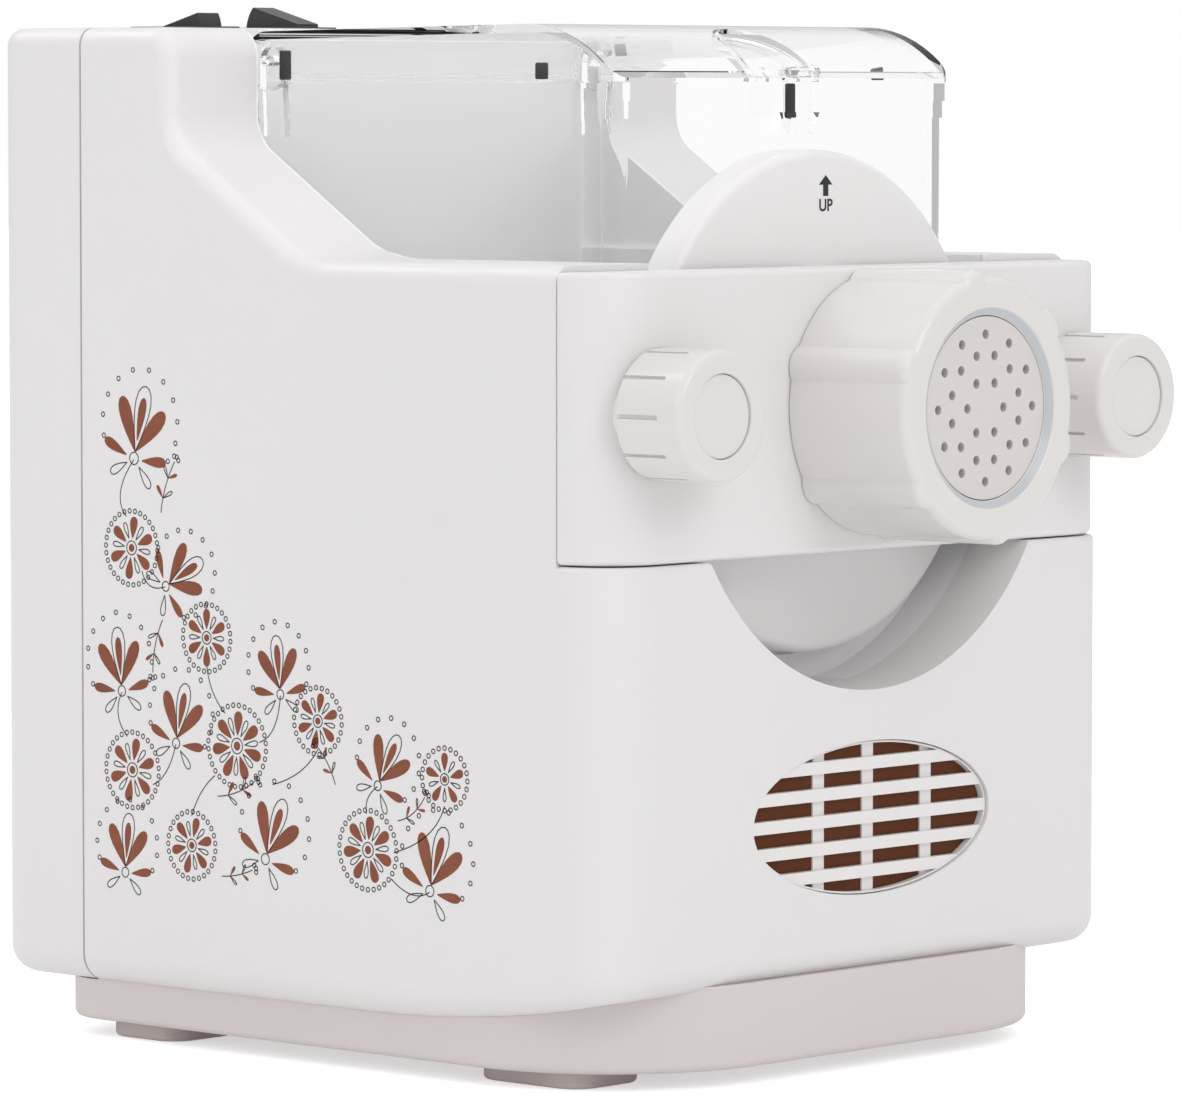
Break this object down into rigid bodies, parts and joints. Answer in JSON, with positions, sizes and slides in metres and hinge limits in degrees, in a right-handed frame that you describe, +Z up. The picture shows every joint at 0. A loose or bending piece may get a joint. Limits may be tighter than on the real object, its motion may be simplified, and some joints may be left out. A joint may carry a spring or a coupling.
{
  "type": "electric pasta maker",
  "caption": "Countertop pasta maker: boxy moulded body with a clear lidded mixing tub, clamp bar with knobs, ridged die nut with a perforated die, oval front vent and a rear control tower.",
  "frame": {"origin": "centre of the footprint, on the surface that the feet stand on", "axes": "+Z up, front of the machine towards -Y, +X to the right of a person facing its front"},
  "size_m": [0.207, 0.2726, 0.283],
  "materials": {
    "white_body": "satin white moulded plastic",
    "warm_white": "satin warm white moulded plastic",
    "die_plastic": "smooth pale warm grey plastic",
    "plinth_plastic": "satin pale pinkish plastic",
    "foot_rubber": "matt pale rubber",
    "grille_plastic": "satin white",
    "screen_brown": "dark brown mat",
    "switch_black": "satin black",
    "clear_plastic": "clear polished plastic",
    "auger_plastic": "smooth white engineering plastic",
    "gear_plastic": "natural engineering plastic",
    "steel": "bright plated steel",
    "brass": "turned brass",
    "seal_silicone": "soft translucent silicone",
    "case_plastic": "black glass-filled plastic",
    "motor_steel": "zinc-plated drawn steel",
    "magnet_dark": "sintered ferrite",
    "board_green": "lacquered circuit board"
  },
  "bodies": {
    "root": {"main_housing": "white_body", "rear_cover": "white_body", "base_plinth": "plinth_plastic", "front_feet": "foot_rubber", "rear_feet": "foot_rubber", "vent_grille": "grille_plastic", "vent_screen": "screen_brown", "clamp_studs": "steel", "stud_nuts": "steel", "rear_cover_screws": "steel", "base_screws": "steel", "control_board": "board_green", "interlock_switch": "switch_black", "power_inlet": "switch_black", "switch_bodies": "switch_black", "gearbox_case": "case_plastic", "gearbox_cover": "case_plastic", "gearbox_screws": "steel", "spindle_bearings": "brass", "gear_axle": "steel", "motor_can": "motor_steel", "motor_magnets": "magnet_dark", "motor_front_bell": "motor_steel", "motor_rear_bell": "motor_steel", "motor_bearings": "brass", "motor_cradle": "case_plastic"},
    "rotor": {"motor_rotor": "motor_steel", "motor_pinion": "steel", "motor_fan": "case_plastic"},
    "intermediate": {"intermediate_gear": "gear_plastic"},
    "drive": {"output_gear": "gear_plastic", "drive_spindle": "steel"},
    "mix_switch": {"mix_rocker": "switch_black"},
    "extrude_switch": {"extrude_rocker": "switch_black"},
    "tub": {"tub": "clear_plastic", "tub_bush": "auger_plastic", "lid_hinge_pins": "clear_plastic"},
    "lid": {"lid": "clear_plastic", "latch_pin": "clear_plastic"},
    "latch": {"lid_latch": "clear_plastic"},
    "auger": {"auger": "auger_plastic", "mixing_paddle": "auger_plastic"},
    "head": {"extruder_head": "white_body", "head_gasket": "seal_silicone", "clamp_panel": "white_body"},
    "die": {"die_plate": "die_plastic"},
    "nut": {"die_nut": "warm_white"},
    "washer_left": {"knob_washer_left": "steel"},
    "knob_left": {"clamp_knob_left": "warm_white", "knob_insert_left": "brass", "knob_cap_left": "warm_white"},
    "washer_right": {"knob_washer_right": "steel"},
    "knob_right": {"clamp_knob_right": "warm_white", "knob_insert_right": "brass", "knob_cap_right": "warm_white"}
  },
  "joints": [
    {"name": "motor_spin", "type": "hinge", "parent": "root", "child": "rotor", "pos_m": [0, 0.00375, 0.06563], "axis": [0, 1, 0], "continuous": true},
    {"name": "intermediate_spin", "type": "hinge", "parent": "root", "child": "intermediate", "pos_m": [0, 0.08875, 0.11313], "axis": [0, 1, 0], "continuous": true},
    {"name": "drive_spin", "type": "hinge", "parent": "root", "child": "drive", "pos_m": [0, 0.08375, 0.177], "axis": [0, 1, 0], "continuous": true},
    {"name": "mix_switch_rock", "type": "hinge", "parent": "root", "child": "mix_switch", "pos_m": [-0.076, 0.08675, 0.276], "axis": [1, 0, 0], "range_deg": [0, 30]},
    {"name": "extrude_switch_rock", "type": "hinge", "parent": "root", "child": "extrude_switch", "pos_m": [-0.0385, 0.08675, 0.276], "axis": [1, 0, 0], "range_deg": [-30, 0]},
    {"name": "tub_slide", "type": "slide", "parent": "root", "child": "tub", "axis": [0, -1, 0], "range_m": [0, 0.155]},
    {"name": "lid_hinge", "type": "hinge", "parent": "tub", "child": "lid", "pos_m": [0, 0.06255, 0.268], "axis": [-1, 0, 0], "range_deg": [0, 90]},
    {"name": "latch_swing", "type": "hinge", "parent": "lid", "child": "latch", "pos_m": [0, -0.06885, 0.2646], "axis": [-1, 0, 0], "range_deg": [0, 40]},
    {"name": "auger_spin", "type": "hinge", "parent": "tub", "child": "auger", "pos_m": [0, 0.00375, 0.177], "axis": [0, 1, 0], "continuous": true},
    {"name": "head_slide", "type": "slide", "parent": "tub", "child": "head", "axis": [0, -1, 0], "range_m": [0, 0.065]},
    {"name": "die_slide", "type": "slide", "parent": "head", "child": "die", "axis": [0, -1, 0], "range_m": [0, 0.012]},
    {"name": "die_nut_turn", "type": "hinge", "parent": "die", "child": "nut", "pos_m": [0, -0.11625, 0.177], "axis": [0, -1, 0], "range_deg": [0, 1440]},
    {"name": "washer_left_slide", "type": "slide", "parent": "head", "child": "washer_left", "axis": [0, -1, 0], "range_m": [0, 0.012]},
    {"name": "knob_left_turn", "type": "hinge", "parent": "washer_left", "child": "knob_left", "pos_m": [-0.085, -0.10725, 0.177], "axis": [0, -1, 0], "range_deg": [0, 1440]},
    {"name": "washer_right_slide", "type": "slide", "parent": "head", "child": "washer_right", "axis": [0, -1, 0], "range_m": [0, 0.012]},
    {"name": "knob_right_turn", "type": "hinge", "parent": "washer_right", "child": "knob_right", "pos_m": [0.085, -0.10725, 0.177], "axis": [0, -1, 0], "range_deg": [0, 1440]}
  ],
  "couplings": [
    {"joint": "intermediate_spin", "follows": "motor_spin", "ratio": -0.22581},
    {"joint": "drive_spin", "follows": "motor_spin", "ratio": 0.053581},
    {"joint": "auger_spin", "follows": "motor_spin", "ratio": 0.053581},
    {"joint": "die_slide", "follows": "die_nut_turn", "m_per_rad": 0.00047742},
    {"joint": "washer_left_slide", "follows": "knob_left_turn", "m_per_rad": 0.00047742},
    {"joint": "washer_right_slide", "follows": "knob_right_turn", "m_per_rad": 0.00047742}
  ]
}
